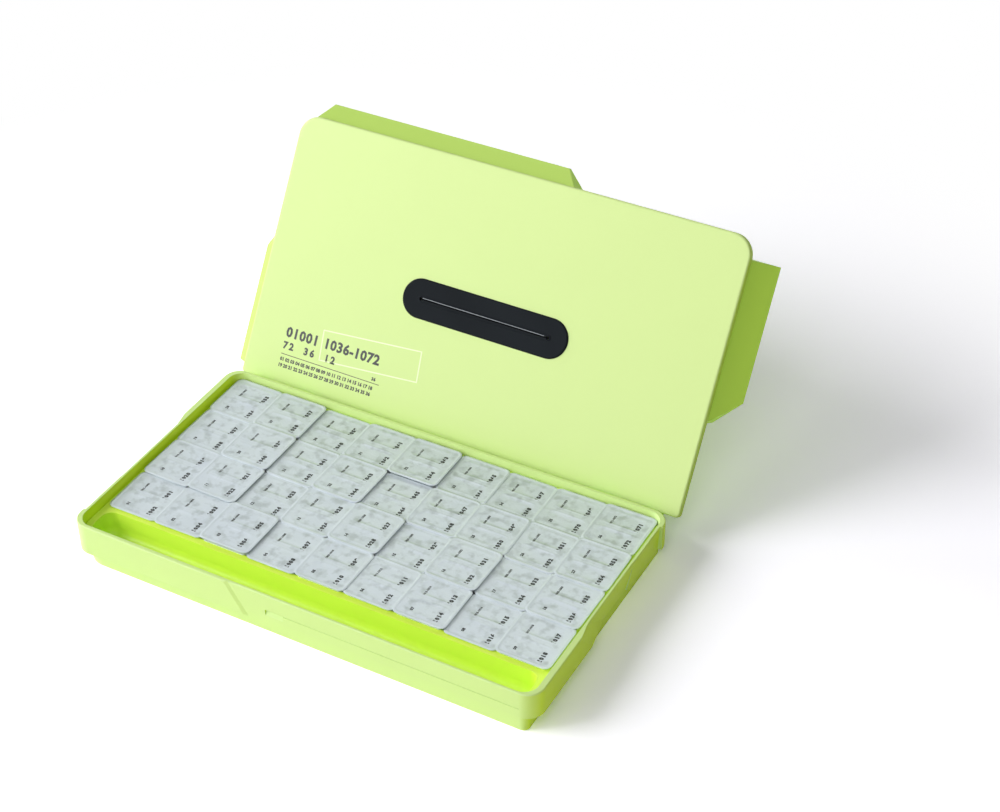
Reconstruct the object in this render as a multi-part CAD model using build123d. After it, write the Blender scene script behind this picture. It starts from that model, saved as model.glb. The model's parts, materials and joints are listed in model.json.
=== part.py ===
from build123d import *
import os

# Gouache paint set box: hinged case, inner tray, twin paint cups under peel films.
# Millimetres. Origin: middle of the base's underside. +X right, +Y back to the hinge, +Z up.

# ---- cups and films -------------------------------------------------------------------
columns, rows = 9, 4
cup_pitch_x, cup_pitch_y = 37.0, 39.0
film_top_z = 25.0                     # films lie level, just below the rim
film_thickness = 0.25
film_gap = 0.4                        # between neighbouring films
corner_cut = 3.0                      # films' and flanges' corners
flange_thickness = 0.8
flange_gap = 0.6                      # between neighbouring flanges
cup_body_x, cup_body_y = 33.8, 35.8   # under the flange
cup_body_corner = 1.2
cup_taper = 1.0                       # narrower at the bottom
cup_wall = 1.1
well_narrowing = 1.1                  # so that the tapered walls keep their thickness
cup_floor_z = 4.1
well_depth = 19.4
paint_level = 3.6                     # paint surface below the flange top

# ---- base -----------------------------------------------------------------------------
rim_z = 31.0
band_z = 11.0                         # lower edge of the rim band
half_width = 172.5                    # side walls at the rim, between the raised parts
half_width_low = 169.8                # side walls at the band's lower edge
half_depth = 96.0
wall = 1.8
rear_wall = 2.6
corner_radius = 12.0
rim_edge = 0.6                        # cut off the rim's outer edge
pad_half_width = 174.9                # raised corner pads
pad_top_end, pad_low_end = -37.0, -21.0
pad_slope = 0.19                      # how fast a pad's end runs out into the wall
post_half_width = 174.2               # short raised corner posts
post_end = 82.0
swell_half_width = 171.2              # low swelling between a pad and a post
swell_start, swell_slant = 36.0, 7.0
face_proud = 1.0                      # raised face on the left of the front wall
face_top_end, face_low_end, face_low_z = -51.4, -37.7, 7.5
face_ramp = 3.0                       # over which it dies into the wall
foot_half_width = 168.6
foot_front, foot_rear = -96.0, 94.4
foot_draft = 0.4
foot_wide_radius, foot_tight_radius = 16.0, 5.0
floor = 2.0
step_z = 12.6                         # inside ledge where the foot meets the band
rib_thickness = 1.6                   # upright ribs that carry the tray
rib_pitch_x, rib_pitch_y = 84.0, 42.0
line_end, line_z = 163.0, 17.6        # shallow line along the front wall
line_height, line_depth = 0.6, 0.45
notch_left, notch_right = -20.7, -7.4
notch_low_z, notch_high_z, notch_depth = 13.5, 18.5, 1.7

# ---- inner tray -----------------------------------------------------------------------
tray_wall = 1.2
tray_bottom_z = 2.2
deck_z = film_top_z - film_thickness - flange_thickness
deck_gap = 0.3                        # all round, inside the base's walls
grid_front = -half_depth + 31.0       # front edge of the block of cups
grid_rear = grid_front + rows * cup_pitch_y
grid_half = columns * cup_pitch_x / 2
well_edge = 1.2                       # deck under the outer cups' flanges
trough_half = 164.3
trough_front, trough_rear = -91.4, -69.0
trough_floor_z = 6.0
trough_corner, trough_bottom_round = 8.0, 6.0
tub_front_corner, well_corner = 12.0, 2.5
socket_height, socket_width = 5.0, 1.6

# ---- lid, drawn shut ------------------------------------------------------------------
open_angle = 122.6                    # shut to leaning back on its stop
panel_z = rim_z + 0.2                 # inner face of the shut panel
panel_half_width = 175.5
panel_front, panel_rear = -96.0, 97.0
panel_thickness = 2.0
skirt_height, skirt_wall = 5.0, 1.8
front_corner, rear_corner = 15.0, 3.0
panel_round = 1.6                     # inner face's edge
lid_top_z = 54.0
lid_wall = 2.0
lid_round = 1.5                       # round the lid's outer face
lid_draft = 17.0                      # degrees, between the wings
wing_reach_side, wing_reach_front = 15.0, 11.0
wing_depth, wing_lip = 12.0, 2.4      # how far it is let into the shell; its outer edge
right_wing = (-81, 31.4), (-81, 12.9)  # root and tip, along the edge that the wing is on
left_wing = (-92, 13.5), (-92, -5)
front_wing = (-168, 41), (-163, 27)
shell_gap = 0.3                       # between the lid shell and the panel's skirt
hole_length, hole_width = 125.2, 23.7
outlet_x, outlet_y = 2.0, 7.0
plate_overlap, plate_proud, plate_edge = 2.3, 1.2, 0.9
back_overlap, back_lip = 2.8, 1.2
grommet_gap = 0.1
membrane = 1.6
bead_width, bead_height = 4.0, 0.4
slit_length, slit_width, slit_end = 100.0, 0.9, 2.2

# ---- hinge ----------------------------------------------------------------------------
hinge_y, hinge_z = 98.0, 24.3
barrel_radius = 3.3
pin_radius = 1.25
running_gap = 0.06
knuckle_length, knuckle_gap = 20.0, 0.3
pocket_gap = 0.35                     # round the lid's knuckles in the base's rear wall
ear_outer = 160.0
ear_length = 10.0
arm_depth, arm_shoulder = 6.5, 17.0
stop_gap = 0.15


def outline(half_x, front, rear, radius, z):
    # rounded rectangle at height z, centred on X
    return Pos(0, (front + rear) / 2, z) * RectangleRounded(2 * half_x, rear - front, radius)


def tailed_outline(half_x, front, rear, front_radius, rear_radius, z):
    # rectangle with one radius on its two front corners and another on the rear ones
    face = Pos(0, (front + rear) / 2, z) * Rectangle(2 * half_x, rear - front)
    face = fillet(face.vertices().group_by(Axis.Y)[0], front_radius)
    return fillet(face.vertices().group_by(Axis.Y)[-1], rear_radius)


def between(low, high):
    # straight-sided body between two outlines
    return loft([low, high], ruled=True)


def slab(x0, x1, y0, y1, z0, z1):
    # plain block between two corners
    return Pos((x0 + x1) / 2, (y0 + y1) / 2, (z0 + z1) / 2) * Box(x1 - x0, y1 - y0, z1 - z0)


def profile_along_x(points, x0, x1):
    # closed Y-Z outline pulled from x0 to x1
    face = make_face(Polyline(*[(x0, y, z) for y, z in points], close=True))
    return extrude(face, amount=x1 - x0, dir=(1, 0, 0))


def profile_along_y(points, y0, y1):
    # closed X-Z outline pulled from y0 to y1
    face = make_face(Polyline(*[(x, y0, z) for x, z in points], close=True))
    return extrude(face, amount=y1 - y0, dir=(0, 1, 0))


def plan(points, z0, z1):
    # closed X-Y outline pulled up from z0 to z1
    face = make_face(Polyline(*[(x, y, z0) for x, y in points], close=True))
    return extrude(face, amount=z1 - z0, dir=(0, 0, 1))


def hinge_rod(radius, x0, x1):
    return Pos((x0 + x1) / 2, hinge_y, hinge_z) * Rot(0, 90, 0) * Cylinder(radius, x1 - x0)


def knuckle_spans():
    # from the outside in, on the right-hand side: lid ear, base knuckle, inner lid knuckle
    ear = (ear_outer - ear_length, ear_outer)
    base = (ear[0] - knuckle_gap - knuckle_length, ear[0] - knuckle_gap)
    inner = (base[0] - knuckle_gap - knuckle_length, base[0] - knuckle_gap)
    return ear, base, inner


def both_sides(span):
    return [span, (-span[1], -span[0])]


# ---- base shell -----------------------------------------------------------------------

def rounded_box(half_x, low_z, radius):
    # straight box from low_z up to the rim, with its top edge eased
    box = extrude(outline(half_x, -half_depth, half_depth, radius, low_z), rim_z - low_z)
    return chamfer(box.edges().group_by(Axis.Z)[-1], rim_edge)


def opposite(shape):
    # the base is laid out like a pinwheel: the same form again after half a turn
    return Rot(0, 0, 180) * shape


def pad_reach(end, z):
    # where a front corner's pad goes at height z; its rear end runs out along a slope
    inner, outer = pad_half_width - 10, pad_half_width + 2
    deep = inner - 15
    front = -half_depth - 1
    points = [
        (deep, front), (outer, front), (outer, end - (outer - pad_half_width) / pad_slope),
        (inner, end + (pad_half_width - inner) / pad_slope), (deep, end + 60),
    ]
    return make_face(Polyline(*[(x, y, z) for x, y in points], close=True))


def corner_pad():
    reach = loft([pad_reach(pad_low_end, band_z), pad_reach(pad_top_end, rim_z)], ruled=True)
    return reach & rounded_box(pad_half_width, band_z, corner_radius)


def corner_post():
    reach = slab(half_width - 30, 200, post_end, 200, band_z, rim_z)
    return reach & rounded_box(post_half_width, band_z, corner_radius)


def wall_swelling():
    # starts on a slant and dies away towards the rim
    points = [
        (swell_start, band_z), (post_end, band_z),
        (post_end, rim_z), (swell_start + swell_slant, rim_z),
    ]
    reach = profile_along_x(points, half_width - 12, 200)
    body = between(
        outline(swell_half_width, -half_depth, half_depth, corner_radius, band_z),
        outline(half_width - 0.2, -half_depth, half_depth, corner_radius, rim_z),
    )
    return reach & body


def face_reach(end, z):
    # plan of the raised face at height z, with the ramp at its right-hand end
    front, inner = -half_depth - face_proud, -half_depth + corner_radius
    points = [
        (-200, inner), (-200, front), (end, front),
        (end + face_ramp, -half_depth), (end + face_ramp, inner),
    ]
    return make_face(Polyline(*[(x, y, z) for x, y in points], close=True))


def front_face():
    # raised face on the left of the front wall, ending on a slant
    front = -half_depth - face_proud
    reach = between(face_reach(face_low_end, face_low_z), face_reach(face_top_end, rim_z))
    body = extrude(outline(post_half_width, front, half_depth, corner_radius, face_low_z), rim_z - face_low_z)
    body = chamfer(body.edges().group_by(Axis.Z)[-1], rim_edge)
    return reach & body


def foot_outline(inset, z):
    # the front left corner is cut well back, the others are tight
    depth = foot_rear - foot_front - 2 * inset
    face = Pos(0, (foot_front + foot_rear) / 2, z) * Rectangle(2 * (foot_half_width - inset), depth)
    corners = face.vertices()
    face = fillet([v for v in corners if v.X < 0 and v.Y < 0], foot_wide_radius - inset)
    return fillet([v for v in face.vertices() if v.X > 0 or v.Y > 0], foot_tight_radius - inset)


def finger_notch():
    # recess in the front wall, deepest under its upper edge
    front = -half_depth
    points = [
        (front - 1, notch_low_z), (front, notch_low_z),
        (front + notch_depth, notch_high_z), (front - 1, notch_high_z),
    ]
    return profile_along_x(points, notch_left, notch_right)


def deck_ribs():
    # upright ribs on the inside ledge, which carry the tray's deck along its edges
    top = deck_z - tray_wall
    ribs = []
    for step in (-1.5, -0.5, 0.5, 1.5):
        y = step * rib_pitch_y
        for x0, x1 in both_sides((foot_half_width - wall + 0.2, half_width_low - 0.3)):
            ribs.append(slab(x0, x1, y - rib_thickness / 2, y + rib_thickness / 2, step_z - 1, top))
        x0, x1 = step * rib_pitch_x - rib_thickness / 2, step * rib_pitch_x + rib_thickness / 2
        ribs.append(slab(x0, x1, half_depth - rear_wall - 1.6, half_depth - rear_wall + 0.3, step_z - 1, top))
        ribs.append(slab(x0, x1, -half_depth + wall - 0.3, -half_depth + wall + 1.2, step_z - 1, top))
    return ribs


def base_knuckles():
    shapes = []
    for x0, x1 in both_sides(knuckle_spans()[1]):
        web = slab(x0, x1, half_depth - 0.5, hinge_y, hinge_z - 8, hinge_z + barrel_radius)
        shapes.append(web + hinge_rod(barrel_radius, x0, x1))
    return shapes


def inside_outline(half_x, radius, z):
    return outline(half_x, -half_depth + wall, half_depth - rear_wall, radius, z)


def base_shell():
    low = outline(half_width_low, -half_depth, half_depth, corner_radius, band_z)
    high = outline(half_width, -half_depth, half_depth, corner_radius, rim_z - rim_edge)
    depth = half_depth - rim_edge
    top = outline(half_width - rim_edge, -depth, depth, corner_radius - rim_edge, rim_z)
    shell = between(low, high) + between(high, top)
    shell += between(foot_outline(foot_draft, 0), foot_outline(0, band_z))
    for part in (corner_pad(), corner_post(), wall_swelling()):
        shell += part
        shell += opposite(part)
    shell += front_face()

    shell -= between(
        inside_outline(half_width_low - wall, corner_radius - wall, step_z),
        inside_outline(half_width - wall - 0.2, corner_radius - wall, rim_z),
    )
    shell -= extrude(foot_outline(wall, floor), step_z - floor)
    for rib in deck_ribs():
        shell += rib

    # shallow line along the front wall, from the notch to the right-hand corner
    front = -half_depth
    shell -= slab(notch_right, line_end, front - 1, front + line_depth, line_z, line_z + line_height)
    shell -= finger_notch()

    # pockets that clear the lid's knuckles, then the base's own knuckles
    ear, base, inner = knuckle_spans()
    for span in both_sides(ear) + both_sides(inner):
        shell -= hinge_rod(barrel_radius + pocket_gap, span[0] - knuckle_gap, span[1] + knuckle_gap)
    for knuckle in base_knuckles():
        shell += knuckle
    for x0, x1 in both_sides(base):
        shell -= hinge_rod(pin_radius + running_gap, x0 - 1, x1 + 1)
    return shell


# ---- inner tray -----------------------------------------------------------------------

def cup_centres():
    centres = []
    for row in range(rows):
        for column in range(columns):
            x = (column - (columns - 1) / 2) * cup_pitch_x
            y = grid_front + (row + 0.5) * cup_pitch_y
            centres.append((x, y))
    return centres


def trough_hollow():
    hollow = slab(-trough_half, trough_half, trough_front, trough_rear, trough_floor_z, rim_z)
    hollow = fillet(hollow.edges().filter_by(Axis.Z), trough_corner)
    return fillet(hollow.edges().group_by(Axis.Z)[0], trough_bottom_round)


def inner_tray():
    well_half = grid_half - well_edge
    well_front, well_rear = grid_front + well_edge, grid_rear - well_edge
    low, floor_z = deck_z - tray_wall, cup_floor_z - 0.3

    front, rear = trough_front - tray_wall, well_rear + tray_wall
    tub = tailed_outline(
        well_half + tray_wall, front, rear, tub_front_corner, well_corner + tray_wall, tray_bottom_z
    )
    tray = extrude(tub, deck_z - tray_bottom_z)
    deck_half = half_width_low - wall + (half_width - half_width_low) / 2 - deck_gap
    deck_front, deck_rear = -half_depth + wall + deck_gap, half_depth - rear_wall - deck_gap
    tray += extrude(outline(deck_half, deck_front, deck_rear, corner_radius - wall, low), tray_wall)
    tray -= trough_hollow()
    well = slab(-well_half, well_half, well_front, well_rear, floor_z, rim_z)
    tray -= fillet(well.edges().filter_by(Axis.Z), well_corner)

    # socket grid on the well's floor, which keeps the cups apart
    high = floor_z + socket_height
    for column in range(1, columns):
        x = -grid_half + column * cup_pitch_x
        tray += slab(x - socket_width / 2, x + socket_width / 2, well_front, well_rear, floor_z, high)
    for row in range(1, rows):
        y = grid_front + row * cup_pitch_y
        tray += slab(-well_half, well_half, y - socket_width / 2, y + socket_width / 2, floor_z, high)
    return tray


# ---- cups, paint and films --------------------------------------------------------------

def well_size():
    x = cup_body_x - 2 * cup_wall - well_narrowing
    y = (cup_body_y - 3 * cup_wall - well_narrowing) / 2
    return x, y


def cut_rectangle(length, width, cut, z):
    # rectangle with its corners cut off
    return Pos(0, 0, z) * chamfer(Rectangle(length, width).vertices(), cut)


def twin_cup():
    # one cup at the origin in plan, at its real height
    foot_x, foot_y = cup_body_x - cup_taper, cup_body_y - cup_taper
    cup = between(
        cut_rectangle(foot_x, foot_y, cup_body_corner, cup_floor_z),
        cut_rectangle(cup_body_x, cup_body_y, cup_body_corner, deck_z + 0.01),
    )
    flange = cut_rectangle(cup_pitch_x - flange_gap, cup_pitch_y - flange_gap, corner_cut, deck_z)
    cup += extrude(flange, flange_thickness)
    x, y = well_size()
    top = deck_z + flange_thickness
    for side in (-1, 1):
        centre = side * (y + cup_wall) / 2
        cup -= slab(-x / 2, x / 2, centre - y / 2, centre + y / 2, top - well_depth, top + 1)
    return cup


def paint_blocks():
    # the two fills of one cup
    x, y = well_size()
    top = deck_z + flange_thickness
    gap = 0.1
    blocks = []
    for side in (-1, 1):
        centre = side * (y + cup_wall) / 2
        blocks.append(slab(
            -x / 2 + gap, x / 2 - gap,
            centre - y / 2 + gap, centre + y / 2 - gap,
            top - well_depth, top - paint_level,
        ))
    return blocks


def film():
    low = film_top_z - film_thickness
    face = cut_rectangle(cup_pitch_x - film_gap, cup_pitch_y - film_gap, corner_cut, low)
    return extrude(face, film_thickness)


# ---- lid, drawn shut ----------------------------------------------------------------------

def panel_outline(inset, z):
    return tailed_outline(
        panel_half_width - inset, panel_front + inset, panel_rear - inset,
        front_corner - inset, max(rear_corner - inset, 0.8), z,
    )


def outlet(length, width, z0, z1):
    face = Pos(outlet_x, outlet_y, z0) * SlotOverall(length, width)
    return extrude(face, z1 - z0)


def lid_panel():
    # drawn shut: its inner face looks down and its skirt stands up inside the lid
    pan = extrude(panel_outline(0, panel_z), skirt_height)
    pan = fillet(pan.edges().group_by(Axis.Z)[0], panel_round)
    pan -= extrude(panel_outline(skirt_wall, panel_z + panel_thickness), skirt_height)
    pan -= outlet(hole_length, hole_width, panel_z - 1, panel_z + panel_thickness + 1)
    return pan


def slit_grommet():
    # rubber plate on the panel's inner face, clipped through it by a lip behind
    face_z, back = panel_z - plate_proud, panel_z + panel_thickness
    overlap = 2 * plate_overlap
    plate = outlet(hole_length + overlap, hole_width + overlap, face_z, panel_z)
    grommet = chamfer(plate.edges().group_by(Axis.Z)[0], plate_edge)
    neck_length, neck_width = hole_length - 2 * grommet_gap, hole_width - 2 * grommet_gap
    grommet += outlet(neck_length, neck_width, panel_z, back)
    overlap = 2 * back_overlap
    grommet += outlet(hole_length + overlap, hole_width + overlap, back, back + back_lip)
    grommet += outlet(slit_length + bead_width, bead_width, face_z - bead_height, face_z)
    grommet -= outlet(neck_length - 4, neck_width - 4, face_z + membrane, back + back_lip + 1)

    # the slit, with a round hole at each end so that it doesn't tear
    half, high = slit_length / 2, face_z + membrane + 1
    low = face_z - bead_height - 1
    grommet -= Pos(outlet_x, outlet_y, 0) * slab(-half, half, -slit_width / 2, slit_width / 2, low, high)
    for side in (-1, 1):
        hole = Cylinder(slit_end / 2, high - low)
        grommet -= Pos(outlet_x + side * half, outlet_y, (low + high) / 2) * hole
    return grommet


def wing(edge, reach, root, tip, inset):
    # flared wing, drawn on the right: a plan outline meets a cross-section that slopes
    # out from behind the skirt; an inset gives its inside
    back, out = edge - wing_depth, reach - inset
    low, high = panel_z + skirt_height + 0.4 + 0.8 * inset, lid_top_z - inset
    section = [
        (back, low), (edge - 1.2 * inset, low), (out, lid_top_z - wing_lip - 0.6 * inset),
        (out, high), (back, high),
    ]
    root_low, root_high = root[0] + 1.1 * inset, root[1] - 1.1 * inset
    tip_low, tip_high = tip[0] + 1.1 * inset, tip[1] - 1.1 * inset
    points = [
        (back, root_low), (edge, root_low), (out, tip_low),
        (out, tip_high), (edge, root_high), (back, root_high),
    ]
    return profile_along_y(section, root_low - 1, root_high + 1) & plan(points, low, high)


def wings(inset):
    # three wings, laid out like a pinwheel: right, left and front
    side_edge, front_edge = panel_half_width - skirt_wall - shell_gap, -panel_front - skirt_wall - shell_gap
    side_reach, front_reach = panel_half_width + wing_reach_side, -panel_front + wing_reach_front
    return [
        wing(side_edge, side_reach, *right_wing, inset),
        Rot(0, 0, 180) * wing(side_edge, side_reach, *left_wing, inset),
        Rot(0, 0, -90) * wing(front_edge, front_reach, *front_wing, inset),
    ]


def hinge_arms():
    # gussets from the lid's rear wall round the pin; drawn shut
    front, back = hinge_y - 0.7, hinge_y + arm_depth
    foot_z, top_z = panel_z + skirt_height + 0.3, lid_top_z - 3
    points = [
        (front, hinge_z), (front, foot_z), (hinge_y - 4.5, foot_z), (hinge_y - 9.5, top_z),
        (hinge_y - 3, top_z), (back, hinge_z + arm_shoulder), (back, hinge_z),
    ]
    ear, base, inner = knuckle_spans()
    arms = []
    for x0, x1 in both_sides(ear) + both_sides(inner):
        arms.append((profile_along_x(points, x0, x1), hinge_rod(barrel_radius, x0, x1)))
    return arms


def swing_open(shape):
    # turn a part drawn shut about the hinge axis to the open rest pose
    return Pos(0, hinge_y, hinge_z) * Rot(-open_angle, 0, 0) * Pos(0, -hinge_y, -hinge_z) * shape


def lid_shell():
    # returned in the open pose, because its arms are trimmed by the stop there
    foot_z = panel_z + panel_thickness + 0.2
    height = lid_top_z - foot_z
    inset = skirt_wall + shell_gap
    shell = extrude(panel_outline(inset, foot_z), height, taper=lid_draft)
    shell = fillet(shell.edges().group_by(Axis.Z)[-1], lid_round)
    for part in wings(0):
        shell += part
    cavity = extrude(panel_outline(inset + lid_wall, foot_z - 0.01), height - lid_wall, taper=lid_draft)
    for part in wings(lid_wall):
        cavity += part
    shell -= cavity
    shell = swing_open(shell)
    behind_stop = slab(-200, 200, 60, half_depth + stop_gap, 0, 60)
    for arm, barrel in hinge_arms():
        shell += (swing_open(arm) - behind_stop)
        shell += barrel
    ear, base, inner = knuckle_spans()
    for span in both_sides((inner[0] - 1, ear[1] - 1.2)):
        shell -= hinge_rod(pin_radius + running_gap, span[0], span[1])
    return shell


def hinge_pin(side):
    ear, base, inner = knuckle_spans()
    x0, x1 = inner[0] + 1, ear[1] - 1.4
    return hinge_rod(pin_radius, x0, x1) if side > 0 else hinge_rod(pin_radius, -x1, -x0)


# ---- write one file for each piece ----------------------------------------------------------

def save(name, shapes):
    shapes = shapes if isinstance(shapes, list) else [shapes]
    solids = [solid for shape in shapes for solid in shape.solids()]
    export_step(Compound(children=solids) if len(solids) > 1 else solids[0], f"parts/{name}.step")


def main():
    os.makedirs("parts", exist_ok=True)
    save("base_shell", base_shell())
    save("inner_tray", inner_tray())
    save("lid_shell", lid_shell())
    save("lid_panel", swing_open(lid_panel()))
    save("slit_grommet", swing_open(slit_grommet()))
    save("hinge_pin_left", hinge_pin(-1))
    save("hinge_pin_right", hinge_pin(1))

    cup, cover, fills = twin_cup(), film(), paint_blocks()
    centres = cup_centres()
    for number, (x, y) in enumerate(centres, start=1):
        save(f"twin_cup_{number:02d}", Pos(x, y, 0) * cup)
    for row in range(rows):
        places = centres[row * columns:(row + 1) * columns]
        save(f"peel_films_row_{row + 1}", [Pos(x, y, 0) * cover for x, y in places])
        save(f"paint_fills_row_{row + 1}", [Pos(x, y, 0) * fill for x, y in places for fill in fills])


main()
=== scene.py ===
import bpy
import json
import math
import numpy as np
from mathutils import Matrix, Vector
from mathutils.bvhtree import BVHTree


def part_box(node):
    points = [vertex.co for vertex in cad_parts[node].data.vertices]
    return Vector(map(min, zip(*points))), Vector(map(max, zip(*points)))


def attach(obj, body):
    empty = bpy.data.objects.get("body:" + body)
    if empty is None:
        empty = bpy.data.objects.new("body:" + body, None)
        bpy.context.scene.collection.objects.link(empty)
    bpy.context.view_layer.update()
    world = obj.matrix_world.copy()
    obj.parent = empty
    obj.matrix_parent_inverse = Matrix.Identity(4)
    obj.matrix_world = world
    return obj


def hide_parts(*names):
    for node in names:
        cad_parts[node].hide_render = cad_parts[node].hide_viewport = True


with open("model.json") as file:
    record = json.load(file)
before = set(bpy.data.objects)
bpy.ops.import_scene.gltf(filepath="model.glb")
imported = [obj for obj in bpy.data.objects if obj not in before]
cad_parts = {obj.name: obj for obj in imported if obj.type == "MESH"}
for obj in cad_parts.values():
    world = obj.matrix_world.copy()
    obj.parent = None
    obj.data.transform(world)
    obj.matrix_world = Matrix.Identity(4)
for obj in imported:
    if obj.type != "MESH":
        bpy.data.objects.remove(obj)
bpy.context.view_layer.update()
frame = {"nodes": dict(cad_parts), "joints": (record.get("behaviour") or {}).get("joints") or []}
nodes = frame["nodes"]
scene = bpy.context.scene
mm = 0.001


# small helpers
def linear(red, green, blue):
    # a screen colour, 0 to 255, as the scene's linear values, by the standard screen curve
    def one(value):
        value = value / 255
        return value / 12.92 if value <= 0.04045 else ((value + 0.055) / 1.055) ** 2.4
    return (one(red), one(green), one(blue), 1.0)


def newObject(name, mesh):
    thing = bpy.data.objects.new(name, mesh)
    scene.collection.objects.link(thing)
    return thing


def plainMesh(holder):
    # an object's evaluated shape, as a mesh of its own
    bpy.context.view_layer.update()
    graph = bpy.context.evaluated_depsgraph_get()
    return bpy.data.meshes.new_from_object(holder.evaluated_get(graph), depsgraph=graph)


def mathNode(tree, operation, first, second):
    node = tree.nodes.new("ShaderNodeMath")
    node.operation = operation
    for index, value in enumerate((first, second)):
        if isinstance(value, (int, float)):
            node.inputs[index].default_value = value
        else:
            tree.links.new(value, node.inputs[index])
    return node.outputs[0]


def objectPlace(tree):
    return tree.nodes.new("ShaderNodeTexCoord").outputs["Object"]


# camera, light and floor
cameraSettings = {
    "place": (0.5910, -0.8778, 0.9410),
    "turn": (52.197, 0.625, 28.779),      # degrees about X, Y and Z
    "lens": 75.79, "sensor": 36.0,        # millimetres
    "farClip": 50.0,
}

# soft discs, all turned to the same spot
lamps = {
    "key": {"place": (-2.53, -1.58, 2.01), "size": 2.2, "watts": 88.0},
    "side": {"place": (-3.46, 0.00, 1.00), "size": 1.8, "watts": 36.0},
    "frontLeft": {"place": (-1.91, -2.73, 1.35), "size": 2.6, "watts": 36.0},
    "frontRight": {"place": (1.27, -2.20, 2.55), "size": 2.6, "watts": 30.0},
    "back": {"place": (-0.48, 2.72, 2.31), "size": 3.0, "watts": 14.0},
}

lightSettings = {
    "aim": (0.0, 0.03, 0.05),
    "sky": 0.115,                         # what the white room gives every surface
    "skySeen": 1.0,
    "floorPaper": 0.88,                   # what the floor gives back to other surfaces
    "paperRough": 0.9, "paperGloss": 0.1,
    "floorSeen": (1.43, 1.41, 1.49),      # what is seen of it: white in the open, grey in shadow
    "floorSize": 9.0,
    "fade": (0.40, 0.68),                 # from the middle: the seen floor turns plain white
}


def addCamera():
    data = bpy.data.cameras.new("camera")
    data.lens = cameraSettings["lens"]
    data.sensor_width = cameraSettings["sensor"]
    data.clip_end = cameraSettings["farClip"]
    camera = bpy.data.objects.new("camera", data)
    camera.location = cameraSettings["place"]
    camera.rotation_euler = [math.radians(angle) for angle in cameraSettings["turn"]]
    scene.collection.objects.link(camera)
    scene.camera = camera


def addLamp(name, settings):
    data = bpy.data.lights.new(name, "AREA")
    data.shape = "DISK"
    data.size = settings["size"]
    data.energy = settings["watts"]
    lamp = bpy.data.objects.new(name, data)
    lamp.location = settings["place"]
    toAim = Vector(lightSettings["aim"]) - lamp.location
    lamp.rotation_euler = toAim.to_track_quat("-Z", "Y").to_euler()
    scene.collection.objects.link(lamp)


def seenDirectly(tree):
    # 1 for rays that show a surface itself: camera, mirror and glass rays
    path = tree.nodes.new("ShaderNodeLightPath").outputs
    mirrored = mathNode(tree, "MAXIMUM", path["Is Camera Ray"], path["Is Glossy Ray"])
    return mathNode(tree, "MAXIMUM", mirrored, path["Is Transmission Ray"])


def addWorld():
    world = bpy.data.worlds.new("studio")
    world.use_nodes = True
    tree = world.node_tree
    background = tree.nodes["Background"]
    background.inputs["Color"].default_value = (1, 1, 1, 1)
    strength = tree.nodes.new("ShaderNodeMapRange")
    strength.inputs["To Min"].default_value = lightSettings["sky"]
    strength.inputs["To Max"].default_value = lightSettings["skySeen"]
    tree.links.new(seenDirectly(tree), strength.inputs["Value"])
    tree.links.new(strength.outputs["Result"], background.inputs["Strength"])
    scene.world = world


def mixShaders(tree, factor, first, second):
    mix = tree.nodes.new("ShaderNodeMixShader")
    tree.links.new(factor, mix.inputs["Fac"])
    tree.links.new(first, mix.inputs[1])
    tree.links.new(second, mix.inputs[2])
    return mix.outputs[0]


def floorMaterial():
    # plain paper to other surfaces; to the eye it goes white in the open and far away
    material = bpy.data.materials.new("paperSweep")
    material.use_nodes = True
    tree = material.node_tree
    direct = seenDirectly(tree)
    paper = tree.nodes["Principled BSDF"]
    paper.inputs["Base Color"].default_value = (lightSettings["floorPaper"],) * 3 + (1,)
    paper.inputs["Roughness"].default_value = lightSettings["paperRough"]
    paper.inputs["Specular IOR Level"].default_value = lightSettings["paperGloss"]
    seen = tree.nodes.new("ShaderNodeBsdfDiffuse")
    seen.inputs["Color"].default_value = lightSettings["floorSeen"] + (1,)
    near = mixShaders(tree, direct, paper.outputs[0], seen.outputs[0])

    distance = tree.nodes.new("ShaderNodeVectorMath")
    distance.operation = "LENGTH"
    tree.links.new(objectPlace(tree), distance.inputs[0])
    far = tree.nodes.new("ShaderNodeMapRange")
    far.interpolation_type = "SMOOTHSTEP"
    far.inputs["From Min"].default_value = lightSettings["fade"][0]
    far.inputs["From Max"].default_value = lightSettings["fade"][1]
    tree.links.new(distance.outputs["Value"], far.inputs["Value"])
    fade = mathNode(tree, "MULTIPLY", far.outputs["Result"], direct)
    white = tree.nodes.new("ShaderNodeEmission").outputs[0]
    result = tree.nodes["Material Output"].inputs["Surface"]
    tree.links.new(mixShaders(tree, fade, near, white), result)
    return material


def addFloor():
    half = lightSettings["floorSize"] / 2
    mesh = bpy.data.meshes.new("floor")
    corners = [(-half, -half, 0), (half, -half, 0), (half, half, 0), (-half, half, 0)]
    mesh.from_pydata(corners, [], [(0, 1, 2, 3)])
    mesh.materials.append(floorMaterial())
    newObject("floor", mesh)


# what every moulded surface shares
surface = {
    "grainScale": 1800.0, "grainDetail": 3.0, "grainBump": 0.35,
    "flowScale": 9.0, "flowDetail": 1.0, "flowTwist": 1.5,
    "speckleScale": 260.0, "speckleDetail": 4.0,
    "edgeRadius": 0.6 * mm, "edgeSamples": 4,
    "edgeStart": 0.995, "edgeEnd": 0.8,   # cosines of how far the softened face leans at an edge
    "paintedLightTowards": (-0.42, -0.62, 0.66),  # faces turned this way, towards the lamps at the front left, get the painted lit colour
    "toneLow": -0.2, "toneHigh": 0.72,
    "noiseLow": 0.3, "noiseHigh": 0.7,    # most of a noise's values lie between these
}


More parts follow.
